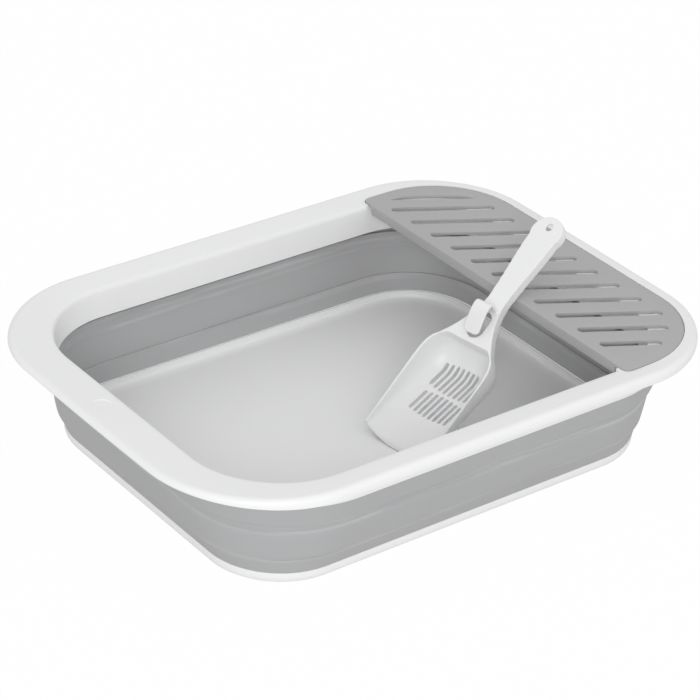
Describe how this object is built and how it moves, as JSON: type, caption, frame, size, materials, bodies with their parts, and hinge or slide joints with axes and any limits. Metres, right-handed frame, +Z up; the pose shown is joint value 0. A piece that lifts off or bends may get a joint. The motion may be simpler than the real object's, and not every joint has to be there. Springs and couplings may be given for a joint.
{
  "type": "foldable litter box",
  "caption": "Rectangular folding cat litter tray: white flanged rim, grey banded wall that nests flat, white base, slotted grey paw shelf and a scoop leaning on it.",
  "frame": {"origin": "centre of the footprint, on the surface that the box stands on", "axes": "+X along the box towards the end with the paw shelf, +Y across the box away from the picture's near side, +Z up"},
  "size_m": [0.5, 0.377, 0.1492],
  "materials": {
    "rim_white": "satin moulded polypropylene",
    "wall_grey": "matt soft-touch thermoplastic rubber",
    "base_white": "satin moulded polypropylene",
    "shelf_grey": "fine satin moulded polypropylene",
    "scoop_white": "satin moulded polypropylene"
  },
  "bodies": {
    "base": {"base_tray": "base_white", "wall_lower_band": "wall_grey"},
    "rim": {"rim_frame": "rim_white", "wall_upper_band": "wall_grey"},
    "middle_wall": {"wall_middle_band": "wall_grey"},
    "shelf": {"paw_shelf": "shelf_grey"},
    "scoop": {"litter_scoop": "scoop_white"}
  },
  "joints": [
    {"name": "fold", "type": "slide", "parent": "base", "child": "rim", "axis": [0, 0, -1], "range_m": [0, 0.043]},
    {"name": "middle_fold", "type": "slide", "parent": "base", "child": "middle_wall", "axis": [0, 0, -1], "range_m": [0, 0.0215]},
    {"name": "shelf_lift", "type": "slide", "parent": "rim", "child": "shelf", "axis": [0, 0, 1], "range_m": [0, 0.12]},
    {"name": "scoop_lean", "type": "hinge", "parent": "shelf", "child": "scoop", "pos_m": [0.137, -0.027, 0.09841], "axis": [-0.1564, 0.9877, 0], "range_deg": [0, 19]}
  ],
  "couplings": [
    {"joint": "middle_fold", "follows": "fold", "ratio": 0.5},
    {"joint": "scoop_lean", "follows": "fold", "rad_per_m": 7.5}
  ]
}
